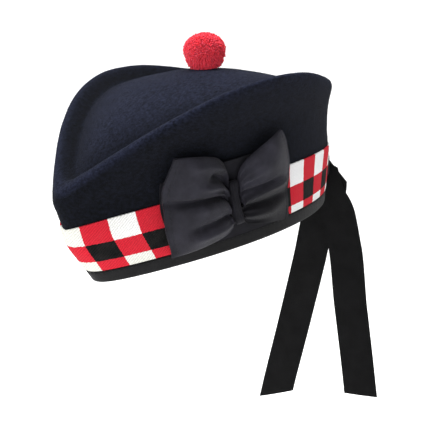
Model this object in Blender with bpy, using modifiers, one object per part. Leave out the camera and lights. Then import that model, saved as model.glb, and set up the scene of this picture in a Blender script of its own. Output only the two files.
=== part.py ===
"""Glengarry: a boat-shaped felt cap with a diced band, a red toorie, a black cockade and two tails.

Metres, +Z up. The cap's own frame has its rim level, its front towards -Y and its left side
towards +X, with the origin at the middle of the rim. The empty worn_tilt lowers the nose, as the
cap sits on a head. The tails hang straight down whatever the tilt.
"""

import math
from collections import namedtuple

import bpy
import numpy as np

RIM_LENGTH = 0.246
RIM_WIDTH = 0.110
RIM_RISE = 0.0065
BAND_RISE = 0.006
FRONT_LIFT = 0.0012
CROWN_HEIGHT = 0.1245
BAND_HEIGHT = 0.047
BINDING_HEIGHT = 0.009
ROLL_WIDTH = 0.013
GROOVE_DEPTH = 0.0095
WORN_TILT = math.radians(7)

FELT = 0.0025
BAND_THICKNESS = 0.0016
BINDING_THICKNESS = 0.0012
RIBBON_THICKNESS = 0.0009
SEAT_GAP = 0.0003

TOORIE_WIDTH = 0.031
TOORIE_HEIGHT = 0.0258
TOORIE_BACK = 0.003
TUFTS = 90
TUFT_RELIEF = 0.0011

COCKADE_ARC = 0.118
COCKADE_WIDTH = 0.106
COCKADE_HEIGHT = 0.081
COCKADE_LEAN = 0.06
BACKING_HEIGHT = 0.058
BACKING_LIFT = 0.0004
BOW_PUFF = 0.010
BOW_THICKNESS = 0.0014
PLEAT_DEPTH = 0.0026
KNOT_WIDTH = 0.010
KNOT_HEIGHT = 0.034
KNOT_THICKNESS = 0.0065
KNOT_ROUND = 0.0028

TAIL_WIDTH = 0.0296
TAIL_LENGTH = 0.218
TAIL_TURN = math.radians(20)
TIE_WIDTH = 0.020
TIE_HEIGHT = 0.022
TIE_THICKNESS = 0.009
TIE_STANDOFF = 0.0016
TIE_SIDE = 0.003
TIE_ROUND = 0.0027

# The bow's wings: how far each reaches at its top corner and at its low corner, as shares of its
# middle's reach, how high its top is, as a share of half the bow's height, and how fast it fans out.
Wing = namedtuple("Wing", "side top_reach low_reach top_share fan")
FRONT_WING = Wing(-1, 0.93, 1.12, 1.00, 0.35)
BACK_WING = Wing(1, 0.62, 0.88, 0.86, 0.42)
# How much further down the ribbon a tail's left edge reaches than its right, at the tie and at
# the free end, as shares of its width.
Cuts = namedtuple("Cuts", "at_tie at_end")
LEFT_CUTS = Cuts(1.0, 0.12)
RIGHT_CUTS = Cuts(0.94, -0.61)

STATIONS = 28
# How round a section's ends are at the rim's nose and at the ridge, as shares of its length.
NOSE_ROUND_SHARE = 0.16
RIDGE_ROUND_SHARE = 0.07

# The sections of the wall, from the rim to the ridge. level runs to 1 at the band's top and to 2
# at the ridge. The lengths are shares: of half the rim's width, and of half its length to the
# front and to the back. A point of 0.5 is a round end and one of 1 a wedge.
Section = namedtuple("Section", "level half_width front back front_point back_point")
WALL = (
    Section(0.00, 0.985, 0.980, 0.965, 1.00, 0.88),
    Section(0.40, 0.980, 1.063, 0.975, 0.97, 0.80),
    Section(0.70, 0.985, 1.123, 0.978, 0.95, 0.74),
    Section(1.00, 0.985, 1.150, 0.982, 0.93, 0.68),
    Section(1.30, 1.070, 1.171, 1.006, 0.97, 0.76),
    Section(1.60, 1.230, 1.185, 1.074, 1.03, 0.95),
    Section(1.72, 1.332, 1.180, 1.112, 1.066, 1.05),
    Section(2.00, 1.463, 1.155, 1.166, 1.11, 1.19),
)

# The rolled ridge, from its outer shoulder over its crest to the groove beside the dome. inset is
# a share of the roll's width and drop of the groove's depth.
Roll = namedtuple("Roll", "row inset drop")
ROLL = (
    Roll(2.0, -0.12, 0.34),
    Roll(2.2, 0.00, 0.00),
    Roll(2.4, 0.34, 0.08),
    Roll(2.6, 0.72, 0.62),
    Roll(2.8, 1.00, 1.00),
)
WEDGE = 1.4  # how much further a pointed end draws back than its sides

# The ridge's height along the cap, as shares of its length and of the crown's height.
Ridge = namedtuple("Ridge", "along height")
RIDGE_LINE = (
    Ridge(0.0, 0.56),
    Ridge(0.25, 0.92),
    Ridge(0.5, 1.0),
    Ridge(0.75, 0.87),
    Ridge(1.0, 0.728),
)
# Each tail's middle line: how far it has dropped below the tie's middle and drifted to the left,
# as shares of the tails' length.
Hang = namedtuple("Hang", "drop drift")
LEFT_TAIL = (
    Hang(-0.03, 0.004),
    Hang(0.08, 0.039),
    Hang(0.18, 0.086),
    Hang(0.30, 0.120),
    Hang(0.58, 0.160),
    Hang(0.951, 0.2135),
)
RIGHT_TAIL = (
    Hang(0.00, 0.064),
    Hang(0.10, 0.054),
    Hang(0.23, 0.012),
    Hang(0.39, -0.019),
    Hang(0.62, -0.069),
    Hang(1.007, -0.155),
)

# The dome's loops, as shares of the groove's outline, the share of its length in which it
# climbs at each end, and the share of the ridge's length at which the toorie stands.
DOME_LOOP_SHARES = (0.86, 0.68, 0.48, 0.28, 0.10)
DOME_RAMP_SHARE = 0.16
TOORIE_SHARE = 0.5


def smooth(at, knots, values):
    """A cubic through the values at the knots, its slopes taken from the neighbours."""
    knots, values = np.asarray(knots, float), np.asarray(values, float)
    slopes = np.gradient(values, knots, axis=0)
    i = np.clip(np.searchsorted(knots, at, side="right") - 1, 0, len(knots) - 2)
    span = knots[i + 1] - knots[i]
    u = (np.asarray(at) - knots[i]) / span
    shape = (-1,) + (1,) * (values.ndim - 1)
    u, span = u.reshape(shape), span.reshape(shape)
    return (
        (2 * u**3 - 3 * u**2 + 1) * values[i]
        + (u**3 - 2 * u**2 + u) * span * slopes[i]
        + (3 * u**2 - 2 * u**3) * values[i + 1]
        + (u**3 - u**2) * span * slopes[i + 1]
    )


def plan(s, half_width, front, back, front_point, back_point, roundness):
    """X and Y of a section at the shares s of its length: a boat with a rounded nose and stern."""

    def bulge(t):
        nose = (t * (t + roundness)) ** (front_point / 2)
        return nose * ((1 - t) * (1 - t + roundness)) ** (back_point / 2)

    return half_width * bulge(s) / bulge(np.linspace(0, 1, 201)).max(), -front + (front + back) * s


def ridge_height(s):
    along, share = zip(*RIDGE_LINE)
    return CROWN_HEIGHT * np.polyval(np.polyfit(along, share, 4), s)


def share_along(turn):
    """Shares of the length that crowd together at the nose and the stern."""
    return (1 - np.cos(turn)) / 2


def wall_rows(s):
    """The table's sections as rows of points, rim to groove, each at the shares s."""
    half_width, half_length = RIM_WIDTH / 2, RIM_LENGTH / 2
    rows, knots = [], []
    for ring in WALL[:-1]:
        x, y = plan(
            s,
            ring.half_width * half_width,
            ring.front * half_length,
            ring.back * half_length,
            ring.front_point,
            ring.back_point,
            NOSE_ROUND_SHARE + (RIDGE_ROUND_SHARE - NOSE_ROUND_SHARE) * max(ring.level - 1, 0),
        )
        low = min(ring.level, 1)
        rise = RIM_RISE + (BAND_RISE - RIM_RISE) * low
        band_z = BAND_HEIGHT * low + rise * 4 * s * (1 - s) + FRONT_LIFT * (1 - low) * (1 - s)
        above = max(ring.level - 1, 0)
        rows.append(np.stack([x, y, band_z + above * (ridge_height(s) - band_z)], 1))
        knots.append(ring.level)
    ridge = WALL[-1]
    front, back = ridge.front * half_length, ridge.back * half_length
    for roll in ROLL:
        inset = roll.inset * ROLL_WIDTH
        x, y = plan(
            s,
            ridge.half_width * half_width - inset,
            front - WEDGE * inset,
            back - WEDGE * inset,
            ridge.front_point,
            ridge.back_point,
            RIDGE_ROUND_SHARE,
        )
        on_ridge = np.clip((y + front) / (front + back), 0, 1)
        z = ridge_height(on_ridge) - roll.drop * GROOVE_DEPTH
        rows.append(np.stack([x, y, z], 1))
        knots.append(roll.row)
    return np.array(knots), np.array(rows)


def wall_points(turn, row):
    """The felt's outer face: an array over rows, then turns (0 at the nose, pi at the stern)."""
    folded = np.pi - np.abs(np.pi - np.abs(turn))
    knots, rows = wall_rows(share_along(folded))
    points = smooth(np.atleast_1d(row), knots, rows)
    side = np.where((turn < 0) | (turn > np.pi), -1.0, 1.0)
    points[..., 0] *= side
    return points


def wall(turn, row, lift=0.0):
    """Points of the wall moved out by lift along the outward normal."""
    turn, row = np.atleast_1d(turn), np.atleast_1d(row)
    step, tall, groove = 0.01, 0.02, ROLL[-1].row
    low, high = np.clip(row - tall, 0, groove), np.clip(row + tall, 0, groove)
    along = wall_points(turn + step, row) - wall_points(turn - step, row)
    up = wall_points(turn, high) - wall_points(turn, low)
    normal = np.cross(along, up)
    normal /= np.linalg.norm(normal, axis=2, keepdims=True)
    points = wall_points(turn, row) + normal * np.reshape(lift, (-1, 1, 1))
    points[:, np.isclose(turn, 0) | np.isclose(turn, np.pi), 0] = 0
    return points


def dome(turns):
    """Loops of the groove drawn in around the toorie, with the height of a low dome."""
    groove = wall_points(turns, ROLL[-1].row)[0]
    ridge_row = wall_points(turns, ROLL[1].row)[0]
    front, back = ridge_row[:, 1].min(), ridge_row[:, 1].max()
    order = np.argsort(groove[:, 1])
    rows = []
    for share in DOME_LOOP_SHARES + (0.0,):
        x, y = groove[:, 0] * share, groove[:, 1] * share
        half = np.interp(y, groove[order, 1], groove[order, 0])
        s_ridge = (y - front) / (back - front)
        s_groove = (y - groove[:, 1].min()) / np.ptp(groove[:, 1])
        ends = np.clip(np.minimum(s_groove, 1 - s_groove) / DOME_RAMP_SHARE, 0, 1)
        rise = GROOVE_DEPTH * (1 - (1 - ends) ** 2)
        across = np.clip(x / np.maximum(half, 1e-6), 0, 1)
        z = ridge_height(s_ridge) - GROOVE_DEPTH + rise * (1 - across**2)
        rows.append(np.stack([x, y, z], 1))
    return np.array(rows)


def material(name, color, roughness):
    made = bpy.data.materials.new(name)
    made.use_nodes = True
    shader = made.node_tree.nodes["Principled BSDF"]
    shader.inputs["Base Color"].default_value = (*color, 1)
    shader.inputs["Roughness"].default_value = roughness
    shader.inputs["Metallic"].default_value = 0
    return made


def add_object(name, points, faces, look, parent=None):
    mesh = bpy.data.meshes.new(name)
    mesh.from_pydata([tuple(p) for p in points], [], faces)
    made = bpy.data.objects.new(name, mesh)
    made.data.materials.append(look)
    made.parent = parent
    bpy.data.collections["glengarry"].objects.link(made)
    return made


def grid_faces(rows, columns):
    """Quads of a grid of points whose rows climb and whose columns run along."""
    return [
        (r * columns + c, r * columns + c + 1, (r + 1) * columns + c + 1, (r + 1) * columns + c)
        for r in range(rows - 1)
        for c in range(columns - 1)
    ]


def mirror(made):
    modifier = made.modifiers.new("Mirror", "MIRROR")
    modifier.merge_threshold = 0.0001


def solidify(made, thickness, outward, even=True):
    modifier = made.modifiers.new("Solidify", "SOLIDIFY")
    modifier.thickness = thickness
    modifier.offset = 1 if outward else -1
    modifier.use_even_offset = even


def station_turns():
    return np.linspace(0, np.pi, STATIONS + 1)


def binding_row():
    return BINDING_HEIGHT / BAND_HEIGHT


def band_rows():
    """Rows that the band shares with the crown, so that their facets run parallel."""
    low = binding_row()
    return np.array([low, low + (1 - low) / 3, low + (1 - low) * 2 / 3, 1.0])


def add_crown(look, parent):
    turns = station_turns()
    low = binding_row()
    above = [1.3, 1.6, 1.8, 2.0, 2.1, 2.2, 2.3, 2.4, 2.6, 2.8]
    rows = np.concatenate([[0, low / 2], band_rows(), above])
    points = np.concatenate([wall_points(turns, rows), dome(turns)[:-1]])
    count, columns = points.shape[:2]
    faces = grid_faces(count, columns)
    top = len(points.reshape(-1, 3))
    last = (count - 1) * columns
    faces += [(last + c, last + c + 1, top) for c in range(columns - 1)]
    centre = dome(turns)[-1, 0]
    made = add_object("crown", [*points.reshape(-1, 3), centre], faces, look, parent)
    mirror(made)
    solidify(made, FELT, outward=False, even=False)
    return made


def add_band(look, parent):
    turns, rows = station_turns(), band_rows()
    rows = rows + np.array([SEAT_GAP / BAND_HEIGHT, 0, 0, 0])
    points = wall(turns, rows, SEAT_GAP)
    faces = grid_faces(*points.shape[:2])
    made = add_object("diced_band", points.reshape(-1, 3), faces, look, parent)
    mirror(made)
    solidify(made, BAND_THICKNESS, outward=True)
    return made


def add_binding(look, parent):
    """A ribbon folded over the rim: up the outside to the band, and as far up the inside."""
    turns, low = station_turns(), binding_row()
    rows = np.array([low - 2 * SEAT_GAP / BAND_HEIGHT, low / 2, 0])
    outside = wall(turns, rows, SEAT_GAP)
    inside = wall(turns, rows[::-1], -FELT - 2 * SEAT_GAP)
    rim, above = wall(turns, [0.0]), wall(turns, [0.05])
    down = (rim - above) / np.linalg.norm(rim - above, axis=2, keepdims=True)
    under = [outside[-1:] + down * 2 * SEAT_GAP, inside[:1] + down * 2 * SEAT_GAP]
    points = np.concatenate([outside, *under, inside])
    points[:, [0, -1], 0] = 0
    faces = [face[::-1] for face in grid_faces(*points.shape[:2])]
    made = add_object("rim_binding", points.reshape(-1, 3), faces, look, parent)
    mirror(made)
    solidify(made, BINDING_THICKNESS, outward=True)
    return made


def add_toorie(look, parent):
    """A ball of wool: round tufts stand out from it, and its foot follows the dome."""
    bpy.ops.mesh.primitive_ico_sphere_add(subdivisions=4, radius=1)
    made = bpy.context.object
    made.name = made.data.name = "toorie"
    base = ridge_height(TOORIE_SHARE) + SEAT_GAP
    centre = base + TOORIE_HEIGHT / 2
    golden = math.pi * (3 - math.sqrt(5))
    index = np.arange(TUFTS)
    up = 1 - 2 * (index + 0.5) / TUFTS
    out = np.sqrt(1 - up**2)
    tufts = np.stack([out * np.cos(golden * index), out * np.sin(golden * index), up], 1)
    reach = math.sqrt(4 / TUFTS)
    half = np.array([TOORIE_WIDTH, TOORIE_WIDTH, TOORIE_HEIGHT]) / 2 - TUFT_RELIEF
    for vertex in made.data.vertices:
        direction = np.array(vertex.co)
        nearest = np.linalg.norm(tufts - direction, axis=1).min() / reach
        puff = TUFT_RELIEF * max(1 - nearest**2, 0)
        place = direction * (half + puff)
        place[2] = max(place[2], SEAT_GAP - TOORIE_HEIGHT / 2)
        vertex.co = place + np.array([0, TOORIE_BACK, centre])
    made.data.materials.append(look)
    made.parent = parent
    for owner in list(made.users_collection):
        owner.objects.unlink(made)
    bpy.data.collections["glengarry"].objects.link(made)
    return made


def side_chart():
    """Turns against arc along the band's top, and rows against height up the wall at the bow."""
    turns = np.linspace(0, np.pi, 241)
    top = wall_points(turns, 1.0)[0]
    arc = np.concatenate([[0], np.cumsum(np.linalg.norm(np.diff(top, axis=0), axis=1))])
    at_bow = np.interp(COCKADE_ARC, arc, turns)
    rows = np.linspace(0, 2, 101)
    column = wall_points(np.array([at_bow]), rows)[:, 0]
    climb = np.concatenate([[0], np.cumsum(np.linalg.norm(np.diff(column, axis=0), axis=1))])
    return turns, arc, rows, climb


def on_side(along, height, lift):
    """Points on the cap's left side, along from the bow's middle and height up from the rim."""
    turns, arc, rows, climb = side_chart()
    shape = np.broadcast(along, height, lift).shape
    along, height, lift = (np.broadcast_to(v, shape).ravel() for v in (along, height, lift))
    lean = COCKADE_LEAN * (height - BAND_HEIGHT)
    turn = np.interp(COCKADE_ARC + along + lean, arc, turns)
    row = np.interp(height, climb, rows)
    placed = [wall(t, r, w)[0, 0] for t, r, w in zip(turn, row, lift)]
    return np.array(placed).reshape(*shape, 3)


def cockade_lift():
    """How far out the cockade's backing starts, over the band."""
    return SEAT_GAP + BAND_THICKNESS + SEAT_GAP


def add_backing(look, parent):
    """A flat square of ribbon that lies over the band, from the binding to above the band."""
    along = np.linspace(-0.5, 0.5, 13) * COCKADE_WIDTH
    height = BINDING_HEIGHT + SEAT_GAP + np.linspace(0, 1, 7) * BACKING_HEIGHT
    lift = cockade_lift() + BACKING_LIFT
    points = on_side(along[None, :], height[:, None], lift)
    faces = grid_faces(*points.shape[:2])
    made = add_object("cockade_backing", points.reshape(-1, 3), faces, look, parent)
    solidify(made, RIBBON_THICKNESS, outward=True)
    return made


def bow_base():
    """How far out the bow starts, over its backing."""
    return cockade_lift() + RIBBON_THICKNESS + 4 * SEAT_GAP


def knot_middle():
    return BINDING_HEIGHT + 0.34 * COCKADE_HEIGHT


def wing_middle():
    return BINDING_HEIGHT + 0.50 * COCKADE_HEIGHT


def add_wing(name, wing, look, parent):
    """Half of the bow: it fans out from the knot, puffs up and folds in three pleats."""
    out = np.linspace(0, 1, 11)[:, None]
    across = np.linspace(-1, 1, 17)[None, :]
    fan = out**wing.fan
    middle = knot_middle() + (wing_middle() - knot_middle()) * fan
    half = KNOT_HEIGHT / 2 + (COCKADE_HEIGHT - KNOT_HEIGHT) / 2 * fan
    inner = KNOT_WIDTH / 2 + SEAT_GAP
    reach = 1 - (1 - wing.top_reach) * np.clip(across, 0, 1) ** 2
    reach = reach - (1 - wing.low_reach) * np.clip(across, -1, 0) ** 2
    along = wing.side * (inner + (COCKADE_WIDTH / 2 - inner) * out * reach)
    height = middle + half * across * np.where(across > 0, wing.top_share, 1)
    rounded = np.sqrt(1 - 0.9 * across**4)
    puff = BOW_PUFF * np.sin(np.pi * np.clip(out, 0.05, 0.97)) ** 0.6 * rounded
    pleats = PLEAT_DEPTH * (0.5 + 0.5 * np.cos(3 * np.pi * across)) * (1 - out) ** 0.5 * rounded
    points = on_side(along, height, bow_base() + puff + pleats)
    if wing.side < 0:
        points = points[::-1]
    faces = [face[::-1] for face in grid_faces(*points.shape[:2])]
    made = add_object(name, points.reshape(-1, 3), faces, look, parent)
    solidify(made, BOW_THICKNESS, outward=True)
    return made


def add_knot(look, parent):
    """The wrap round the bow's middle, rounded over its top and bottom."""
    along = np.linspace(-1, 1, 5)[None, :] * (KNOT_WIDTH / 2 - 3 * SEAT_GAP)
    height = knot_middle() + np.linspace(-1, 1, 9)[:, None] * KNOT_HEIGHT / 2
    points = on_side(along, height, bow_base())
    made = add_object("bow_knot", points.reshape(-1, 3), grid_faces(9, 5), look, parent)
    solidify(made, KNOT_THICKNESS, outward=True)
    bevel = made.modifiers.new("Bevel", "BEVEL")
    bevel.width = KNOT_ROUND
    bevel.segments = 3
    bevel.angle_limit = math.radians(50)
    return made


def tail_frame():
    """World directions of the hanging tails, and the middle of the band's back behind the tie."""
    stern = wall(np.array([np.pi]), 0.5, SEAT_GAP + BAND_THICKNESS + SEAT_GAP)[0, 0]
    tilt, turn = WORN_TILT, TAIL_TURN
    seat = np.array(
        [
            0,
            stern[1] * math.cos(tilt) - stern[2] * math.sin(tilt),
            stern[1] * math.sin(tilt) + stern[2] * math.cos(tilt),
        ]
    )
    left = np.array([math.cos(turn), math.sin(turn), 0])
    away = np.array([-math.sin(turn), math.cos(turn), 0])
    return seat, left, away


def add_tie(look):
    """The flat tie at the back that the tails hang from: a block with rounded edges."""
    seat, left, away = tail_frame()
    seat = seat + away * TIE_STANDOFF
    bpy.ops.mesh.primitive_cube_add(size=1)
    made = bpy.context.object
    made.name = made.data.name = "back_tie"
    middle = seat + away * TIE_THICKNESS / 2 + left * TIE_SIDE
    for vertex in made.data.vertices:
        x, y, z = vertex.co
        vertex.co = (x * TIE_WIDTH, y * TIE_THICKNESS, z * TIE_HEIGHT)
    made.location = middle
    made.rotation_euler.z = TAIL_TURN
    bevel = made.modifiers.new("Bevel", "BEVEL")
    bevel.width = TIE_ROUND
    bevel.segments = 3
    made.data.materials.append(look)
    for owner in list(made.users_collection):
        owner.objects.unlink(made)
    bpy.data.collections["glengarry"].objects.link(made)
    return made


def add_tail(name, hangs, layer, cuts, look):
    """A ribbon that hangs from the tie. layer counts the ribbons between it and the tie."""
    seat, left, away = tail_frame()
    drop, drift = (TAIL_LENGTH * np.array(column) for column in zip(*hangs))
    down = np.linspace(drop[0], drop[-1], 25)
    side = smooth(down, drop, drift)
    slope = np.gradient(side, down)
    length = np.hypot(1, slope)
    out = TIE_STANDOFF + TIE_THICKNESS + SEAT_GAP + layer * (RIBBON_THICKNESS + 2 * SEAT_GAP)
    points = []
    for share in (-0.5, 0.0, 0.5):
        reach = share * TAIL_WIDTH
        slant = reach * np.interp(down, (down[0], down[-1]), cuts)
        across = side + (reach + slant * slope) / length
        fall = down + (slant - reach * slope) / length
        line = seat + away * out + across[:, None] * left
        line[:, 2] -= fall
        points.append(line)
    points = np.array(points)
    faces = [face[::-1] for face in grid_faces(*points.shape[:2])]
    made = add_object(name, points.reshape(-1, 3), faces, look)
    solidify(made, RIBBON_THICKNESS, outward=True)
    return made


def main():
    for old in list(bpy.data.objects):
        bpy.data.objects.remove(old)
    bpy.context.scene.collection.children.link(bpy.data.collections.new("glengarry"))
    tilt = bpy.data.objects.new("worn_tilt", None)
    bpy.data.collections["glengarry"].objects.link(tilt)
    tilt.rotation_euler.x = WORN_TILT

    felt = material("navy_felt", (0.018, 0.021, 0.038), 0.95)
    dice = material("diced_wool", (0.60, 0.05, 0.07), 0.9)
    ribbon = material("black_ribbon", (0.012, 0.012, 0.014), 0.75)
    wool = material("red_wool", (0.60, 0.02, 0.04), 0.95)

    add_crown(felt, tilt)
    add_band(dice, tilt)
    add_binding(ribbon, tilt)
    add_toorie(wool, tilt)
    add_backing(ribbon, tilt)
    add_wing("bow_wing_front", FRONT_WING, ribbon, tilt)
    add_wing("bow_wing_back", BACK_WING, ribbon, tilt)
    add_knot(ribbon, tilt)
    add_tie(ribbon)
    add_tail("tail_left", LEFT_TAIL, 0, LEFT_CUTS, ribbon)
    add_tail("tail_right", RIGHT_TAIL, 1, RIGHT_CUTS, ribbon)


main()
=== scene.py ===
"""Glengarry: felt, diced wool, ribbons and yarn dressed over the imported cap.

Metres, +Z up, front towards -Y, the wearer's left towards +X. The cap's own frame has its rim
level and is turned nose down by WORN_TILT; the tails hang straight down from the tie.
"""

import math
from collections import namedtuple

import bpy
import numpy as np
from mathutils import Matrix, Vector


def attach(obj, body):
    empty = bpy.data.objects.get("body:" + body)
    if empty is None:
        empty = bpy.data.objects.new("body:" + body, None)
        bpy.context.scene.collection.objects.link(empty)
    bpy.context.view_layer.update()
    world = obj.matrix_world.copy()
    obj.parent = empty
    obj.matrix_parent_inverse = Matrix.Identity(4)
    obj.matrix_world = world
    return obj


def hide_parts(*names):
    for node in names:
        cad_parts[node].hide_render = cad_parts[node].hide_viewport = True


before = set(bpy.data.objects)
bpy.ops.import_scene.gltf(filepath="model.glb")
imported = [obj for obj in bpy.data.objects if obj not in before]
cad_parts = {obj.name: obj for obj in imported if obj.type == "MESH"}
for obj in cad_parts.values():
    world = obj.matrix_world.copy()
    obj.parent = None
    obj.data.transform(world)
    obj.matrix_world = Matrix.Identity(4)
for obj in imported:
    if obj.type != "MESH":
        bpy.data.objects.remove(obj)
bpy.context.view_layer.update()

# The cap. The rim and the band's top arch by their rises halfway along, and the rim's nose is
# lifted a little.
RIM_LENGTH = 0.246
RIM_WIDTH = 0.110
RIM_RISE = 0.0065
BAND_RISE = 0.006
FRONT_LIFT = 0.0012
CROWN_HEIGHT = 0.1245
BAND_HEIGHT = 0.047
BINDING_HEIGHT = 0.009
ROLL_WIDTH = 0.013
GROOVE_DEPTH = 0.0095
WORN_TILT = math.radians(7)

FELT = 0.0025
BAND_THICKNESS = 0.0016
BINDING_THICKNESS = 0.0012
RIBBON_THICKNESS = 0.0009
SEAT_GAP = 0.0003

TOORIE_WIDTH = 0.031
TOORIE_HEIGHT = 0.0258
TOORIE_BACK = 0.003

# The bow: how far its middle lies round the band's top from the nose, its size, how far it
# leans back on its way up, as a slope, and then its backing, its puff and its knot.
COCKADE_ARC = 0.118
COCKADE_WIDTH = 0.106
COCKADE_HEIGHT = 0.081
COCKADE_LEAN = 0.06
BACKING_HEIGHT = 0.058
BACKING_LIFT = 0.0004
BOW_PUFF = 0.010
BOW_THICKNESS = 0.0014
KNOT_WIDTH = 0.010
KNOT_HEIGHT = 0.034
KNOT_THICKNESS = 0.0065

# The tails and their tie. Both face backwards, turned to the right by TAIL_TURN, and the tie
# lies a little to the left of the stern.
TAIL_WIDTH = 0.0296
TAIL_LENGTH = 0.218
TAIL_TURN = math.radians(20)
TIE_WIDTH = 0.020
TIE_HEIGHT = 0.022
TIE_THICKNESS = 0.009
TIE_STANDOFF = 0.0016
TIE_SIDE = 0.003

# How round a section's ends are up to the band's top and at the ridge, and how long the dome
# takes to climb at each end, as shares of the section's length. The toorie's place is a share of
# the ridge's length, and the knot's and the wings' middles are shares of the cockade's height.
NOSE_ROUND_SHARE = 0.16
RIDGE_ROUND_SHARE = 0.07
DOME_RAMP_SHARE = 0.16
TOORIE_SHARE = 0.5
KNOT_SHARE = 0.34
WING_SHARE = 0.50

# How far off the felt the cockade and the bow lie, and the heights of the knot's and the wings'
# middles over the rim.
COCKADE_LIFT = SEAT_GAP + BAND_THICKNESS + SEAT_GAP
BOW_BASE = COCKADE_LIFT + RIBBON_THICKNESS + 4 * SEAT_GAP
KNOT_MIDDLE = BINDING_HEIGHT + KNOT_SHARE * COCKADE_HEIGHT
WING_MIDDLE = BINDING_HEIGHT + WING_SHARE * COCKADE_HEIGHT

# Small steps of a turn and of a row, for the wall's normals.
TURN_NUDGE = 0.01
ROW_NUDGE = 0.02

# How far the toorie's cut ends stand out past its ball, and how much its foot spreads.
YARN_PROUD = 0.0005
FOOT_SPREAD = 0.70

# How much thicker a ribbon is at its hem.
HEM_RISE = 0.00035

DICE_ROUND = 32
FIRST_DICE_END = 0.0114
FIRST_ROW_END = 0.0165
SECOND_ROW_END = 0.0315
# How far the band's top dips at the nose, and the length round the band in which that fades.
NOSE_DIP = 0.0046
NOSE_DIP_LENGTH = 0.020
# How far the checks' columns lean forwards on their way down, at most, as a slope.
STERN_LEAN = 0.48

# The camera round the rim's middle, and where that middle lies in the frame, in pixels.
CAMERA_AZIMUTH = math.radians(43)
CAMERA_ELEVATION = math.radians(13)
CAMERA_DISTANCE = 0.700
FRAME_PIXELS = 430
MIDDLE_X = 217.35
MIDDLE_Y = 231.0
PIXELS_PER_METRE = 1300
SENSOR_WIDTH = 36

# The wall's sections as shares of the rim's half width and half length. The level is 0 at the
# rim, 1 at the band's top and 2 at the ridge's shoulder, and the points are powers in plan().
Section = namedtuple("Section", "level half_width front back front_point back_point")
WALL = (
    Section(0.00, 0.985, 0.980, 0.965, 1.00, 0.88),
    Section(0.40, 0.980, 1.063, 0.975, 0.97, 0.80),
    Section(0.70, 0.985, 1.123, 0.978, 0.95, 0.74),
    Section(1.00, 0.985, 1.150, 0.982, 0.93, 0.68),
    Section(1.30, 1.070, 1.171, 1.006, 0.97, 0.76),
    Section(1.60, 1.230, 1.185, 1.074, 1.03, 0.95),
    Section(1.72, 1.332, 1.180, 1.112, 1.066, 1.05),
    Section(2.00, 1.463, 1.155, 1.166, 1.11, 1.19),
)

# The rolled ridge from its shoulder to the groove: insets in roll widths, drops in groove depths.
Roll = namedtuple("Roll", "row inset drop")
ROLL = (
    Roll(2.0, -0.12, 0.34),
    Roll(2.2, 0.00, 0.00),
    Roll(2.4, 0.34, 0.08),
    Roll(2.6, 0.72, 0.62),
    Roll(2.8, 1.00, 1.00),
)
WEDGE = 1.4  # how much further a pointed end draws back than its sides

# The ridge's height along the cap, as shares of its length and of the crown's height.
Ridge = namedtuple("Ridge", "along height")
RIDGE_LINE = (
    Ridge(0.0, 0.56),
    Ridge(0.25, 0.92),
    Ridge(0.5, 1.0),
    Ridge(0.75, 0.87),
    Ridge(1.0, 0.728),
)

# The felt's soft dents: how long their waves are, how deep they go, and the seed of their sines.
Dents = namedtuple("Dents", "wave depth seed")
FELT_DENTS = (Dents(0.055, 0.0009, 3), Dents(0.017, 0.0003, 4))

# The tails' middle lines, as shares of their length down from the tie and towards the left.
Hang = namedtuple("Hang", "drop drift")
LEFT_TAIL = (
    Hang(-0.03, 0.004),
    Hang(0.08, 0.039),
    Hang(0.18, 0.086),
    Hang(0.30, 0.120),
    Hang(0.58, 0.160),
    Hang(0.951, 0.2135),
)
RIGHT_TAIL = (
    Hang(0.00, 0.064),
    Hang(0.10, 0.054),
    Hang(0.23, 0.012),
    Hang(0.39, -0.019),
    Hang(0.62, -0.069),
    Hang(1.007, -0.155),
)
# How much further down the ribbon a tail's left edge reaches than its right, at the tie and at
# the free end, as shares of its width.
Cuts = namedtuple("Cuts", "at_tie at_end")
LEFT_CUTS = Cuts(1.0, 0.12)
RIGHT_CUTS = Cuts(0.94, -0.61)

# Folds of the bow, each along a ray from the knot: where it lies from the bottom edge at -1 to
# the top edge at 1, its height, its half width, and where along the wing it fades out.
Fold = namedtuple("Fold", "across height spread reach")
FRONT_FOLDS = (
    Fold(0.86, 0.0020, 0.10, 0.95),
    Fold(0.58, -0.0062, 0.12, 0.44),
    Fold(0.36, 0.0030, 0.10, 0.60),
    Fold(0.02, -0.0046, 0.08, 1.25),
    Fold(-0.22, 0.0022, 0.12, 0.95),
    Fold(-0.52, -0.0040, 0.08, 0.80),
    Fold(-0.74, 0.0020, 0.10, 0.90),
)
BACK_FOLDS = (
    Fold(0.55, 0.0016, 0.30, 0.90),
    Fold(0.02, -0.0026, 0.08, 0.80),
    Fold(-0.20, 0.0034, 0.10, 1.20),
    Fold(-0.44, -0.0052, 0.09, 1.10),
    Fold(-0.70, 0.0018, 0.12, 0.85),
    Fold(-0.90, -0.0012, 0.07, 0.60),
)

# The bow's wings: how far each reaches at its top corner and at its low corner, as shares of its
# middle's reach, how high its top is, as a share of half the bow's height, how fast it fans out,
# how far its low edge is tucked in, as a share of its puff, which also sets how dark the painted
# shade on its low half is, how much painted light its ribbon gets, the front wing's less than the
# back's, how far the ribbon reaches from the knot when it is laid flat, and its folds.
Wing = namedtuple("Wing", "side top_reach low_reach top_share fan tuck shade cut folds")
FRONT_WING = Wing(-1, 0.93, 1.12, 1.00, 0.35, 0.0, 0.80, 0.055, FRONT_FOLDS)
BACK_WING = Wing(1, 0.62, 0.88, 0.86, 0.42, 0.80, 1.00, 0.046, BACK_FOLDS)


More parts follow.
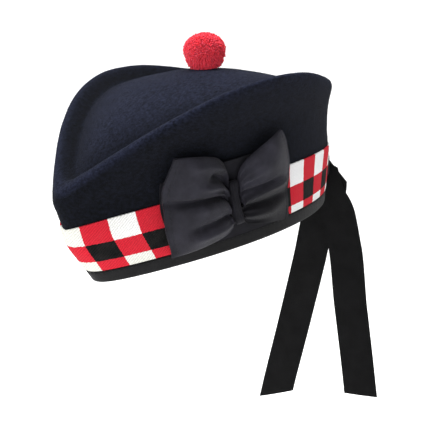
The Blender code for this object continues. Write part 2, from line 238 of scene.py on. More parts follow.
def smooth(at, knots, values, each=False):
    """A cubic through the values at the knots, its slopes taken from the neighbours. With each,
    every column of the values has a place of its own in at."""
    knots, values = np.asarray(knots, float), np.asarray(values, float)
    slopes = np.gradient(values, knots, axis=0)
    i = np.clip(np.searchsorted(knots, at, side="right") - 1, 0, len(knots) - 2)
    shape = (-1,) + (1,) * (values.ndim - 1 - each)
    span = (knots[i + 1] - knots[i]).reshape(shape)
    u = (np.asarray(at) - knots[i]).reshape(shape) / span
    column = (np.arange(len(i)),) if each else ()
    here, after = (i, *column), (i + 1, *column)
    return (
        (2 * u**3 - 3 * u**2 + 1) * values[here]
        + (u**3 - 2 * u**2 + u) * span * slopes[here]
        + (3 * u**2 - 2 * u**3) * values[after]
        + (u**3 - u**2) * span * slopes[after]
    )


def unit(ways):
    """Directions of unit length."""
    return ways / np.linalg.norm(ways, axis=-1, keepdims=True)


def step(low, high, at):
    """0 below low, 1 above high, and a smooth rise between them."""
    t = np.clip((at - low) / (high - low), 0, 1)
    return t * t * (3 - 2 * t)


def plan(s, half_width, front, back, section, roundness):
    """X is the half width times a bulge, the product of a power of the share from the nose and
    one of the share from the stern, each rounded off at its end. Y runs from front to back."""

    def bulge(t):
        nose = (t * (t + roundness)) ** (section.front_point / 2)
        return nose * ((1 - t) * (1 - t + roundness)) ** (section.back_point / 2)

    return half_width * bulge(s) / bulge(np.linspace(0, 1, 201)).max(), -front + (front + back) * s


def ridge_height(s):
    """The quartic through the five points of the ridge's line."""
    along, height = zip(*RIDGE_LINE)
    return CROWN_HEIGHT * np.polyval(np.polyfit(along, height, 4), s)


def wall_rows(s):
    """The table's sections as rows of points, rim to groove, each at the shares s."""
    half = np.array([RIM_WIDTH, RIM_LENGTH, RIM_LENGTH]) / 2
    rows = []
    for ring in WALL[:-1]:
        low, above = min(ring.level, 1), max(ring.level - 1, 0)
        roundness = NOSE_ROUND_SHARE + (RIDGE_ROUND_SHARE - NOSE_ROUND_SHARE) * above
        x, y = plan(s, *(half * ring[1:4]), ring, roundness)
        rise = RIM_RISE + (BAND_RISE - RIM_RISE) * low
        band_z = BAND_HEIGHT * low + rise * 4 * s * (1 - s) + FRONT_LIFT * (1 - low) * (1 - s)
        rows.append(np.stack([x, y, band_z + above * (ridge_height(s) - band_z)], 1))
    widest, front, back = half * WALL[-1][1:4]
    for roll in ROLL:
        inset = roll.inset * ROLL_WIDTH
        sizes = widest - inset, front - WEDGE * inset, back - WEDGE * inset
        x, y = plan(s, *sizes, WALL[-1], RIDGE_ROUND_SHARE)
        on_ridge = np.clip((y + front) / (front + back), 0, 1)
        rows.append(np.stack([x, y, ridge_height(on_ridge) - roll.drop * GROOVE_DEPTH], 1))
    knots = [ring.level for ring in WALL[:-1]] + [roll.row for roll in ROLL]
    return np.array(knots), np.array(rows)


def wall_points(turn, row):
    """The felt's outer face over rows and turns: 0 is the nose, pi the stern, up to 2 pi."""
    turn = np.mod(turn, 2 * np.pi)
    folded = np.minimum(turn, 2 * np.pi - turn)
    knots, rows = wall_rows((1 - np.cos(folded)) / 2)
    points = smooth(np.atleast_1d(row), knots, rows)
    points[..., 0] *= np.where(turn > np.pi, -1.0, 1.0)
    return points


def wall_normal(turn, row):
    """The outward normal: the way round crossed with the way up, by small differences."""
    low, high = (np.clip(near, 0, ROLL[-1].row) for near in (row - ROW_NUDGE, row + ROW_NUDGE))
    along = wall_points(turn + TURN_NUDGE, row) - wall_points(turn - TURN_NUDGE, row)
    return unit(np.cross(along, wall_points(turn, high) - wall_points(turn, low)))


def wall(turn, row, lift=0.0):
    """Points of the wall moved out by lift, one for each row, along the normal."""
    turn, row = np.atleast_1d(turn), np.atleast_1d(row)
    lift = np.asarray(lift, float)
    lift = lift if lift.ndim == 2 else np.reshape(lift, (-1, 1))
    return wall_points(turn, row) + wall_normal(turn, row) * lift[..., None]


def dome(turns, shares):
    """Loops of the groove drawn in by the shares, at the height of a low dome: the ridge's
    height less the groove's depth, plus a rise that fades as the square of the way across."""
    groove = wall_points(turns, ROLL[-1].row)[0]
    ridge = wall_points(turns, ROLL[1].row)[0]
    edge = wall_points(np.linspace(0, np.pi, 400), ROLL[-1].row)[0]
    share = np.asarray(shares)[:, None]
    x, y = groove[:, 0] * share, groove[:, 1] * share
    half = np.interp(y, edge[:, 1], edge[:, 0])
    s_ridge = (y - ridge[:, 1].min()) / np.ptp(ridge[:, 1])
    s_groove = (y - groove[:, 1].min()) / np.ptp(groove[:, 1])
    ends = np.clip(np.minimum(s_groove, 1 - s_groove) / DOME_RAMP_SHARE, 0, 1)
    rise = GROOVE_DEPTH * (1 - (1 - ends) ** 2)
    across = np.clip(np.abs(x) / np.maximum(half, 1e-6), 0, 1)
    return np.stack([x, y, ridge_height(s_ridge) - GROOVE_DEPTH + rise * (1 - across**2)], -1)


def worn(points):
    """Points of the cap's own frame, turned nose down about X."""
    x, y, z = np.moveaxis(points, -1, 0)
    cos, sin = math.cos(WORN_TILT), math.sin(WORN_TILT)
    return np.stack([x, y * cos - z * sin, y * sin + z * cos], -1)


def ripple(points, size, seed):
    """A soft random field from -1 to 1: seven sines of the place, about size metres a wave."""
    rng = np.random.default_rng(seed)
    total = np.zeros(points.shape[:-1])
    for _ in range(7):
        way = rng.normal(size=3)
        way *= 2 * np.pi / size / np.linalg.norm(way) * rng.uniform(0.7, 1.4)
        total += np.sin(points @ way + rng.uniform(0, 2 * np.pi))
    return total / 7


def grid_normals(points):
    """Unit normals of a grid of points that closes on itself along its second axis."""
    wrapped = np.concatenate([points[:, -1:], points, points[:, :1]], 1)
    normal = np.cross(wrapped[:, 2:] - wrapped[:, :-2], np.gradient(points, axis=0))
    return normal / np.maximum(np.linalg.norm(normal, axis=2, keepdims=True), 1e-12)


def signed_volume(points, faces):
    """Six times the volume inside triangles or quads, negative where they face inwards."""
    total = 0
    for last in range(2, faces.shape[1]):
        a, b, c = (points[faces[:, k]] for k in (0, last - 1, last))
        total += np.einsum("ij,ij->i", a, np.cross(b, c)).sum()
    return total


def add_object(name, data):
    """A new object of the scene for a mesh, a lamp or a camera."""
    thing = bpy.data.objects.new(name, data)
    bpy.context.scene.collection.objects.link(thing)
    return thing


def add_piece(name, points, faces, look, uv=None, sharp=60, shade=None):
    """A mesh at the origin from points and faces, which are turned so that they look out."""
    points = points.reshape(-1, 3)
    if signed_volume(points, faces) < 0:
        faces = faces[:, ::-1]
        uv = None if uv is None else uv[:, ::-1]
    mesh = bpy.data.meshes.new(name)
    mesh.from_pydata(points.tolist(), [], faces.tolist())
    if uv is not None:
        mesh.uv_layers.new(name="cloth").data.foreach_set("uv", uv.astype(np.float32).ravel())
    # shade holds painted light and shade, and on the toorie each strand's own tone as well.
    if shade is not None:
        values = mesh.attributes.new("shade", "FLOAT", "POINT").data
        values.foreach_set("value", np.asarray(shade, np.float32))
    mesh.shade_smooth()
    if sharp:
        mesh.set_sharp_from_angle(angle=math.radians(sharp))
    mesh.materials.append(look)
    piece = add_object(name, mesh)
    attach(piece, "root")
    return piece


def grid_quads(rows, columns, loop=False, tube=True):
    """Quads over a grid of points. With loop its last row joins the first, and with tube its last
    column does."""
    i, j = np.arange(rows if loop else rows - 1), np.arange(columns if tube else columns - 1)
    i, j = np.meshgrid(i, j, indexing="ij")
    this, after, far = i * columns, (i + 1) % rows * columns, (j + 1) % columns
    return np.stack([this + j, this + far, after + far, after + j], -1).reshape(-1, 4)


def cap_quads(size):
    """Quads that close a ring of points, each joining two neighbours to the two across."""
    k = np.arange(size // 2 - 1)
    return np.stack([k, k + 1, size - 2 - k, size - 1 - k], 1)


def swept(name, rings, look, uv=None, loop=False, sharp=60, shade=None):
    """A closed section carried along a path. rings holds a section of points for each step, and
    uv a step more where the path closes. Open ends are capped."""
    count, size = rings.shape[:2]
    faces, cap, corners = grid_quads(count, size, loop), cap_quads(size), None
    if uv is not None:
        uv = np.concatenate([uv, uv[:, :1]], 1)
        corners = np.stack([uv[:-1, :-1], uv[:-1, 1:], uv[1:, 1:], uv[1:, :-1]], 2).reshape(-1, 4, 2)
    if not loop:
        faces = np.concatenate([faces, cap[:, ::-1], cap + (count - 1) * size])
    if not loop and uv is not None:
        corners = np.concatenate([corners, uv[0][cap[:, ::-1]], uv[-1][cap]])
    return add_piece(name, rings, faces, look, corners, sharp, shade)


def sheet_rings(top, under):
    """Rings of a thin sheet from the grids of its two faces: out over one and back the other."""
    return np.concatenate([top, under[:, ::-1]], 1)


def lengths(points, axis):
    """Distance along one axis of a grid of points, from 0 at its start."""
    steps = np.linalg.norm(np.diff(points, axis=axis), axis=-1)
    start = np.zeros_like(np.take(steps, [0], axis=axis))
    return np.concatenate([start, np.cumsum(steps, axis=axis)], axis=axis)


class Shader:
    """A material's node tree, with its Principled BSDF and short ways to add nodes."""

    def __init__(self, name, color, roughness, **values):
        self.material = bpy.data.materials.new(name)
        self.material.use_nodes = True
        self.tree = self.material.node_tree
        self.main = self.tree.nodes["Principled BSDF"]
        self.paint(Base_Color=(*color, 1), Roughness=roughness, **values)

    def paint(self, **values):
        for socket, value in values.items():
            self.set(self.main, socket.replace("_", " "), value)

    def set(self, node, socket, value):
        if isinstance(value, bpy.types.NodeSocket):
            self.tree.links.new(value, node.inputs[socket])
        else:
            node.inputs[socket].default_value = value

    def add(self, kind, out=0, settings=(), **values):
        node = self.tree.nodes.new("ShaderNode" + kind)
        for key, value in dict(settings).items():
            setattr(node, key, value)
        for socket, value in values.items():
            self.set(node, socket.replace("_", " "), value)
        return node.outputs[out]

    def math(self, operation, *values, kind="Math"):
        node = self.tree.nodes.new("ShaderNode" + kind)
        node.operation = operation
        for index, value in enumerate(values):
            self.set(node, index, value)
        return node.outputs[0]

    def mix(self, share, first, second):
        node = self.tree.nodes.new("ShaderNodeMix")
        node.data_type = "RGBA"
        self.set(node, 0, share)
        for index, value in ((6, first), (7, second)):
            self.set(node, index, value if isinstance(value, bpy.types.NodeSocket) else (*value, 1))
        return node.outputs[2]

    def ramp(self, value, low, high, start=0.0, end=1.0):
        ends = {"From_Min": low, "From_Max": high, "To_Min": start, "To_Max": end}
        return self.add("MapRange", 0, Value=value, **ends)

    # The attribute shade: painted light and shade on the felt and the bow, and on the toorie each
    # strand's own tone with painted light.
    def shade(self):
        return self.add("Attribute", 2, {"attribute_name": "shade"})

    def noise(self, where, scale, detail=3.0, rough=0.55):
        return self.add("TexNoise", 0, Vector=where, Scale=scale, Detail=detail, Roughness=rough)

    def split(self, vector):
        return self.add("SeparateXYZ", 0, Vector=vector).node.outputs

    def place(self):
        return self.add("TexCoord", "Object")

    def cloth(self):
        return self.add("TexCoord", "UV")

    def bump(self, height, distance, strength=1.0, over=None):
        values = {"Height": height, "Distance": distance, "Strength": strength}
        if over is not None:
            values["Normal"] = over
        return self.add("Bump", 0, **values)


def felt_look():
    """Milled navy wool: flecks of lighter and darker fibre over a matt pile, and painted light and
    shade from the attribute shade: near black where it is low, the lit felt where it is high.
    """
    look = Shader("navy_felt", (0.010, 0.011, 0.019), 0.95, Specular_IOR_Level=0.03)
    look.paint(Sheen_Weight=0.04, Sheen_Roughness=0.45, Sheen_Tint=(0.42, 0.45, 0.62, 1))
    place = look.place()
    stretched = look.add("Mapping", 0, Vector=place, Scale=(1.0, 0.45, 1.0), Rotation=(0, 0, 0.6))
    flecks = look.noise(stretched, 620, 4.0, 0.75)
    clouds = look.noise(place, 70, 3.0, 0.6)
    light = look.ramp(flecks, 0.38, 0.66)
    base = look.mix(light, (0.0038, 0.0046, 0.0084), (0.0185, 0.0222, 0.0430))
    patches = look.math("MULTIPLY", look.ramp(clouds, 0.3, 0.75), 0.35)
    base = look.mix(patches, base, (0.0138, 0.0164, 0.0320))
    # Painted light and shade: the attribute shade mixes the felt from a near black painted shade up
    # to its lit colour.
    look.paint(Base_Color=look.mix(look.shade(), (0.0022, 0.0023, 0.0009), base))
    pile = look.noise(place, 1500, 3.0, 0.75)
    lumps = look.noise(place, 260, 2.0, 0.5)
    low = look.bump(lumps, 0.0006, 0.5)
    look.paint(Normal=look.bump(pile, 0.0006, 1.0, low))
    return look.material


def dice_look(pitch):
    """Red, white and black checks drawn on the cloth's own lengths: the first row and the last
    go white and red in turn, and the middle row red and black under them."""
    look = Shader("diced_wool", (0.6, 0.05, 0.07), 0.9, Specular_IOR_Level=0.03)
    look.paint(Sheen_Weight=0.02, Sheen_Roughness=0.5)
    cloth = look.cloth()
    wobble = look.add("TexNoise", 1, Vector=cloth, Scale=700.0, Detail=2.0)
    wobble = look.math("SUBTRACT", wobble, (0.5, 0.5, 0.5), kind="VectorMath")
    wobble = look.math("MULTIPLY", wobble, (0.0011, 0.0011, 0.0011), kind="VectorMath")
    around, down, _ = look.split(look.math("ADD", cloth, wobble, kind="VectorMath"))
    count = look.math("DIVIDE", look.math("SUBTRACT", around, FIRST_DICE_END), pitch)
    odd = look.math("GREATER_THAN", look.math("MODULO", look.math("ADD", count, 64.0), 2.0), 1.0)
    middle = look.math("GREATER_THAN", down, FIRST_ROW_END)
    middle = look.math("SUBTRACT", middle, look.math("GREATER_THAN", down, SECOND_ROW_END))

    place = look.place()
    fibre = look.noise(place, 1300, 3.0, 0.7)
    patch = look.noise(place, 120, 2.0)
    red = look.mix(fibre, (0.34, 0.007, 0.016), (0.57, 0.020, 0.035))
    white = look.mix(fibre, (0.59, 0.59, 0.59), (0.89, 0.89, 0.90))
    black = look.mix(fibre, (0.001, 0.0015, 0.0015), (0.006, 0.007, 0.007))
    # Painted shade: the white checks turn darker and yellower towards the nose and towards the
    # band's foot.
    _, back, height = look.split(place)
    painted_shade_share = look.ramp(back, -0.100, -0.150)
    low = look.ramp(height, 0.030, 0.000)
    painted_shade_share = look.math("MULTIPLY", look.math("MAXIMUM", painted_shade_share, low), 0.80)
    painted_shade_white = look.mix(fibre, (0.40, 0.40, 0.34), (0.66, 0.66, 0.58))
    white = look.mix(painted_shade_share, white, painted_shade_white)
    outer = look.mix(odd, red, white)
    inner = look.mix(odd, black, red)
    checks = look.mix(middle, outer, inner)

    turned = look.add("Mapping", 0, Vector=cloth, Rotation=(0, 0, math.radians(-52)))
    twill = {"Vector": turned, "Scale": 210.0, "Distortion": 1.2, "Detail": 2.0, "Detail Scale": 3.0}
    lines = look.add("TexWave", "Fac", {"wave_profile": "SIN"}, **twill)
    shade = look.ramp(lines, 0.0, 0.7, 0.22, 0.0)
    dim = look.mix(shade, checks, (0.004, 0.003, 0.003))
    patchy = look.ramp(patch, 0.3, 0.8, 0.0, 0.05)
    look.paint(Base_Color=look.mix(patchy, dim, (0.16, 0.12, 0.12)))
    ribs = look.bump(lines, 0.0004, 0.7)
    look.paint(Normal=look.bump(fibre, 0.0003, 0.6, ribs))
    return look.material


def ribbon_look(name, color, rib=0.00055, sheen=0.04, gloss=0.12, folds=False):
    """Black grosgrain: fine ribs across the ribbon, a dull sheen and a little dust of wear. With
    folds, the attribute shade paints shade where it is tucked in and paints one wing darker than the
    other."""
    look = Shader(name, color, 0.62, Specular_IOR_Level=gloss)
    look.paint(Sheen_Weight=sheen, Sheen_Roughness=0.4)
    along, across, _ = look.split(look.cloth())
    ribs = look.math("SINE", look.math("MULTIPLY", along, 2 * math.pi / rib))
    threads = look.math("SINE", look.math("MULTIPLY", across, 2 * math.pi / 0.0004))
    weave = look.math("MULTIPLY_ADD", threads, 0.35, ribs)
    place = look.place()
    tuck, dark, light = (tuple(share * value for value in color) for share in (0.12, 0.72, 1.5))
    wear = look.noise(place, 90, 4.0, 0.6)
    base = look.mix(look.ramp(wear, 0.3, 0.7), dark, light)
    # Painted light and shade: the attribute shade mixes the ribbon towards the dark tuck colour.
    if folds:
        base = look.mix(look.shade(), tuck, base)
    look.paint(Base_Color=base)
    fine = look.noise(place, 1800, 2.0)
    look.paint(Roughness=look.ramp(fine, 0.0, 1.0, 0.5, 0.78))
    look.paint(Normal=look.bump(weave, 0.00008, 0.6))
    return look.material


def yarn_look():
    """Red wool yarn, each strand a little lighter or darker than the next, and the ball's lower half
    painted lighter as painted light; the attribute shade carries both.
    """
    look = Shader("red_yarn", (0.6, 0.02, 0.04), 0.9, Specular_IOR_Level=0.1)
    look.paint(Sheen_Weight=0.3, Sheen_Roughness=0.4, Sheen_Tint=(1.0, 0.45, 0.5, 1))
    look.paint(Subsurface_Weight=0.45, Subsurface_Scale=0.006, Subsurface_Radius=(1.0, 0.12, 0.10))
    fibre = look.noise(look.place(), 1500, 3.0, 0.7)
    # The attribute shade: each strand's own tone plus painted light on the ball's lower half.
    shade = look.math("MULTIPLY_ADD", fibre, 0.5, look.math("MULTIPLY", look.shade(), 0.6))
    look.paint(Base_Color=look.mix(shade, (0.33, 0.006, 0.014), (0.86, 0.045, 0.075)))
    look.paint(Normal=look.bump(fibre, 0.0003, 0.8))
    return look.material


def add_crown(look):
    """The felt: an outer face of wall rows and dome loops, with soft dents above the band that
    fade towards the toorie, and an inner face the felt's thickness inside it, joined round the rim
    and closed on top. Its shade is painted light and shade: a painted highlight along the ridge's
    crest, the dome painted lighter than the walls, and a little painted shade in the groove."""
    turns = np.linspace(0, 2 * np.pi, 300, endpoint=False)
    low_rows = np.linspace(0, 1.0, 10)
    high_rows = np.linspace(1.04, ROLL[-1].row, 56)
    shares = np.linspace(0.975, 0.02, 34)
    rows = np.concatenate([low_rows, high_rows])
    outer = np.concatenate([wall_points(turns, rows), dome(turns, shares)])
    normals = grid_normals(outer)
    above = np.concatenate([0 * low_rows, step(1.05, 1.3, high_rows), 1 + 0 * shares])[:, None]
    from_toorie = np.hypot(outer[..., 0], outer[..., 1] - TOORIE_BACK)
    above = above * step(0.018, 0.040, from_toorie)
    dents = sum(d.depth * (0.5 + 0.5 * ripple(outer, d.wave, d.seed)) for d in FELT_DENTS)
    outer = outer - normals * (above * dents)[..., None]
    climb = np.concatenate([rows, ROLL[-1].row + 0.9 * (1 - shares)])[:, None]
    # Painted light and shade: a painted highlight at the crest, the dome painted lighter than the
    # walls, painted shade in the groove.
    crest = np.exp(-(((climb - 2.20) / 0.22) ** 2))
    groove = np.exp(-(((climb - 2.74) / 0.14) ** 2))
    shade = 0.26 + 0.50 * step(2.6, 3.1, climb) + 0.60 * crest - 0.08 * groove + 0 * outer[..., 0]
    keep = np.r_[0 : len(outer) - 1 : 2, len(outer) - 1]
    inner = (outer - normals * FELT)[keep]
    rings = np.concatenate([inner[::-1], outer])
    count, size = rings.shape[:2]
    points = worn(rings).reshape(-1, 3)
    points = np.concatenate([points, [points[:size].mean(0), points[-size:].mean(0)]])
    shade = np.concatenate([shade[keep][::-1].ravel(), shade.ravel(), shade[-1, :1], shade[-1, :1]])
    k = np.arange(0, size, 2)
    last, inner_top, outer_top = (count - 1) * size, len(points) - 2, len(points) - 1
    fan_out = np.stack([last + k, last + k + 1, last + (k + 2) % size, 0 * k + outer_top], 1)
    fan_in = np.stack([(k + 2) % size, k + 1, k, 0 * k + inner_top], 1)
    faces = np.concatenate([grid_quads(count, size), fan_out, fan_in])
    piece = add_piece("crown_felt", points, faces, look, sharp=0, shade=shade)
    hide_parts("crown")
    return outer[len(low_rows) :], normals[len(low_rows) :]


def add_fuzz(points, normals, look):
    """Loose fibres of the felt: thin three-sided spikes that stand off its face and lean over."""
    rng = np.random.default_rng(11)
    count, scatter, sunk, half = 11000, 0.0008, 0.0003, 0.00005
    edges = np.linalg.norm(np.roll(points, -1, 1) - points, axis=2)
    rises = np.linalg.norm(np.gradient(points, axis=0), axis=2)
    weight = (edges * rises).ravel()
    chosen = rng.choice(weight.size, count, p=weight / weight.sum())
    root, normal = points.reshape(-1, 3)[chosen], normals.reshape(-1, 3)[chosen]
    drift = rng.normal(size=root.shape)
    root = root + drift * scatter
    lean = unit(np.cross(normal, rng.normal(size=root.shape)))
    side = np.cross(normal, lean)
    tall = rng.uniform(0.0004, 0.0011, count)[:, None]
    root = root - normal * (np.einsum("ij,ij->i", drift, normal)[:, None] * scatter + sunk)
    corners = [
        root + half * lean,
        root - half * lean + half * side,
        root - half * lean - half * side,
        root + normal * (tall + sunk) + lean * tall * rng.uniform(0.3, 1.6, count)[:, None],
    ]
    strands = worn(np.stack(corners, 1))
    shape = np.array([[0, 2, 1], [0, 1, 3], [1, 2, 3], [2, 0, 3]])
    faces = (np.arange(count)[:, None, None] * 4 + shape).reshape(-1, 3)
    # The fibres get painted light: a shade of 0.8, near the dome's painted tone.
    piece = add_piece("felt_fuzz", strands, faces, look, sharp=0, shade=np.full(count * 4, 0.8))


def add_loop(name, top, under, uv_face, look, node):
    """A strip round the cap from the grids of its two faces, rows by turns."""
    top, under, uv_face = (grid.transpose(1, 0, 2) for grid in (top, under, uv_face))
    rings, uv = worn(sheet_rings(top, under))[:-1], sheet_rings(uv_face, uv_face)
    piece = swept(name, rings, look, uv, loop=True, sharp=50)
    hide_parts(node)


def add_band():
    """The diced cloth: a loop that follows the wall, with its own lengths round and down. Its
    columns lean forwards towards the stern, as a sine times the fourth power of a half sine."""
    turns = np.linspace(0, 2 * np.pi, 361)
    low = BINDING_HEIGHT / BAND_HEIGHT
    rows = np.linspace(1.0, low + SEAT_GAP / BAND_HEIGHT, 22)
    edge = np.sin(np.pi * np.linspace(0, 1, len(rows))) ** 0.25
    top = wall(turns, rows, SEAT_GAP + BAND_THICKNESS * (0.72 + 0.28 * edge))
    under = wall(turns, rows, SEAT_GAP + 0.0001)
    round_top = lengths(top[:1], 1)[0]
    down = lengths(top, 0)
    along = np.broadcast_to(round_top, down.shape)
    from_nose = np.minimum(round_top, round_top[-1] - round_top)
    dip = NOSE_DIP * np.exp(-from_nose / NOSE_DIP_LENGTH) * (1 - down / down[-1])
    lean = (top[-1] - top[0]) / down[-1][:, None]
    top, under = top + dip[..., None] * lean, under + dip[..., None] * lean
    stern = np.sin(turns) * np.sin(turns / 2) ** 4
    uv_face = np.stack([along + STERN_LEAN * stern * down, down + dip], -1)
    look = dice_look(round_top[-1] / DICE_ROUND)
    add_loop("dice_cloth", top, under, uv_face, look, "diced_band")


def add_binding(look):
    """A ribbon round the rim: down the outside, half an ellipse under the felt's edge and up the
    inside, at its contact with the felt and a ribbon's thickness out, with faint puckers."""
    turns = np.linspace(0, 2 * np.pi, 401)
    low = BINDING_HEIGHT / BAND_HEIGHT
    rows = np.linspace(low - 2 * SEAT_GAP / BAND_HEIGHT, 0.012, 8)
    normal = wall_normal(turns, np.zeros(1))[0]
    rim, above = wall_points(turns, 0.0)[0], wall_points(turns, 0.05)[0]
    down = unit(rim - above)
    centre = rim - normal * FELT / 2
    angle = np.linspace(0, np.pi, 11)[1:-1, None, None]
    pucker = 0.00012 * np.sin(turns * 173) * np.sin(turns * 31 + 1)

    def face(thickness, shape):
        side = SEAT_GAP + thickness * shape + pucker * (thickness > 0)
        outside = wall(turns, rows, np.broadcast_to(side, (len(rows), len(turns))))
        out = (FELT / 2 + SEAT_GAP + thickness) * np.cos(angle) * normal
        under = (2 * SEAT_GAP + thickness) * np.sin(angle) * down
        inside = wall(turns, rows[::-1], -FELT - SEAT_GAP - thickness)
        return np.concatenate([outside, centre + out + under, inside])

    lip = np.linspace(0.75, 1, 3)
    shape = np.concatenate([lip, np.ones(len(rows) - 3)])[:, None]
    top, under = face(BINDING_THICKNESS, shape), face(0.0, shape)
    along = np.broadcast_to(lengths(top[:1], 1), top.shape[:2])
    uv_face = np.stack([along, lengths(top, 0)], -1)
    add_loop("rim_ribbon", top, under, uv_face, look, "rim_binding")


def circles(ways, helper, sides):
    """A unit circle of sides points square to each way: the cosine along the way's cross with
    the helper, and the sine along the way's cross with that."""
    side = unit(np.cross(ways, helper))[:, None]
    up = np.cross(ways[:, None], side)
    angle = np.linspace(0, 2 * np.pi, sides, endpoint=False)[:, None]
    return np.cos(angle) * side + np.sin(angle) * up


def capsules(starts, ends, radius, sides=6):
    """Short threads with round ends, each a ring of sides at four places between two points.
    Returns the points and the quads."""
    ways = unit(ends - starts)
    helper = np.where(np.abs(ways[:, 2:]) < 0.9, [[0, 0, 1.0]], [[1.0, 0, 0]])
    circle = circles(ways, helper, sides)
    rings = []
    for share, wide in ((0.0, 0.35), (0.16, 1.0), (0.84, 1.0), (1.0, 0.35)):
        middle = starts + (ends - starts) * share
        rings.append(middle[:, None] + circle * radius * wide)
    points = np.stack(rings, 1)
    base = np.arange(len(points))[:, None, None] * 4 * sides
    cap = cap_quads(sides)
    shape = np.concatenate([grid_quads(4, sides), cap[:, ::-1], cap + 3 * sides])
    return points.reshape(-1, 3), (base + shape).reshape(-1, 4)


def stitches(line, along, begin, long, radius):
    """Threads on a line of points, along metres from its start, each long metres from a begin."""
    starts, ends = (
        np.stack([np.interp(place, along, line[:, k]) for k in range(3)], 1)
        for place in (begin, begin + long)
    )
    return capsules(worn(starts), worn(ends), radius)


def add_rim_stitches(look):
    """A running stitch along the binding's upper edge, a stitch every four millimetres."""
    turns = np.linspace(0, 2 * np.pi, 2001)
    count, below, proud = 142, 0.0016, 0.00005
    row = BINDING_HEIGHT / BAND_HEIGHT - below / BAND_HEIGHT
    line = wall(turns, row, SEAT_GAP + BINDING_THICKNESS + proud)[0]
    along = lengths(line[None], 1)[0]
    begin = np.arange(count) * along[-1] / count
    points, faces = stitches(line, along, begin, 0.0026, 0.00022)
    piece = add_piece("rim_stitches", points, faces, look, sharp=0)


def toorie_middle():
    """The ball's middle. It sits on the dome, which reaches the ridge's height there."""
    base = ridge_height(TOORIE_SHARE) + SEAT_GAP
    return np.array([0, TOORIE_BACK, base + TOORIE_HEIGHT / 2])


def add_toorie(look):
    """A ball of cut yarn: strands spread evenly by the golden angle, each a rounded five-sided
    stub from inside the ball to its outline, which is an ellipsoid with a flat foot."""
    rng = np.random.default_rng(7)
    count, sides = 2600, 5
    index = np.arange(count)
    up = 1 - 2 * (index + 0.5) / count
    out = np.sqrt(1 - up**2)
    golden = math.pi * (3 - math.sqrt(5))
    way = np.stack([out * np.cos(golden * index), out * np.sin(golden * index), up], 1)
    half = np.array([TOORIE_WIDTH, TOORIE_WIDTH, TOORIE_HEIGHT]) / 2 + [YARN_PROUD, YARN_PROUD, 0]
    lumps = 1 - 0.045 * (0.5 + 0.5 * ripple(way * 0.012, 0.0075, 5)) - rng.uniform(0, 0.035, count)
    tips = way * half * lumps[:, None] + rng.normal(size=way.shape) * 0.00025
    tips[:, 2] *= 1 + FOOT_SPREAD * np.clip(-way[:, 2], 0, 1)
    tips[:, 2] = np.maximum(tips[:, 2], -half[2])
    roots = way * half * 0.62
    roots[:, 2] = np.maximum(roots[:, 2], -half[2] + 0.0012)
    radius = rng.uniform(0.00052, 0.00072, count)
    circle = circles(unit(tips - roots), rng.normal(size=tips.shape), sides)
    rings = []
    for share, wide in ((0.0, 0.8), (0.6, 1.0), (0.9, 0.95), (0.98, 0.6)):
        middle = roots + (tips - roots) * share
        rings.append(middle[:, None] + circle * (radius * wide)[:, None, None])
    rings = np.stack(rings, 1).reshape(count, -1, 3)
    points = np.concatenate([rings, roots[:, None], tips[:, None]], 1)
    points[..., 2] = np.maximum(points[..., 2], -half[2] - 0.0002)
    size = points.shape[1]
    near = np.arange(sides)
    far, end, root, tip = (near + 1) % sides, 3 * sides, 0 * near + size - 2, 0 * near + size - 1
    ends = np.stack([far, near, root, near + end, far + end, tip], 1).reshape(-1, 3)
    shape = np.concatenate([grid_quads(4, sides)[:, [0, 1, 2, 0, 2, 3]].reshape(-1, 3), ends])
    faces = (np.arange(count)[:, None, None] * size + shape).reshape(-1, 3)
    # Each strand's own random tone, plus painted light that makes the ball's lower half lighter.
    strands = np.repeat(rng.uniform(0, 1, count) + 0.8 * step(-0.3, 0.6, -way[:, 2]), size)
    points = worn(points + toorie_middle())
    piece = add_piece("toorie_yarn", points, faces, look, sharp=0, shade=strands)
    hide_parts("toorie")

    angles = np.linspace(0, 2 * np.pi, 48, endpoint=False)
    polar = np.linspace(0.02, np.pi - 0.02, 30)[:, None]
    wide, tall = np.sin(polar), np.cos(polar) + 0 * angles
    ball = np.stack([wide * np.cos(angles), wide * np.sin(angles), tall], -1) * half * 0.86
    ball[..., 2] = np.maximum(ball[..., 2], -half[2] + SEAT_GAP + 0.0008)
    core = swept("toorie_core", worn(ball + toorie_middle()), look, sharp=0)


def side_chart():
    """Turns against arc along the band's top, and rows against height up the wall at the bow."""
    turns = np.linspace(0, np.pi, 241)
    arc = lengths(wall_points(turns, 1.0), 1)[0]
    rows = np.linspace(0, 2, 101)
    column = wall_points(np.array([np.interp(COCKADE_ARC, arc, turns)]), rows)[:, 0]
    return turns, arc, rows, lengths(column[None], 1)[0]


def on_side(along, height, lift):
    """Points on the cap's left side: along from the bow's middle, height up from the rim, and
    lift off the felt, along the wall's normal at each of them."""
    turns, arc, rows, climb = side_chart()
    shape = np.broadcast(along, height, lift).shape
    along, height, lift = (np.broadcast_to(v, shape).ravel() for v in (along, height, lift))
    lean = COCKADE_LEAN * (height - BAND_HEIGHT)
    turn = np.interp(COCKADE_ARC + along + lean, arc, turns)
    row = np.interp(height, climb, rows)

    def at(turn_by, row_by):
        return smooth(row + row_by, *wall_rows((1 - np.cos(turn + turn_by)) / 2), each=True)

    across = at(TURN_NUDGE, 0) - at(-TURN_NUDGE, 0)
    normal = unit(np.cross(across, at(0, ROW_NUDGE) - at(0, -ROW_NUDGE)))
    return (at(0, 0) + normal * lift[:, None]).reshape(*shape, 3)


def add_sheet(name, top, under, look, node, shade=None):
    """A ribbon piece from the grids of its two faces, with its own lengths as its UV map."""
    uv_face = np.stack([lengths(top, 0), lengths(top, 1)], -1)
    uv = sheet_rings(uv_face, uv_face)
    shade = None if shade is None else sheet_rings(shade, shade).ravel()
    piece = swept(name, sheet_rings(top, under), look, uv, sharp=50, shade=shade)
    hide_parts(node)


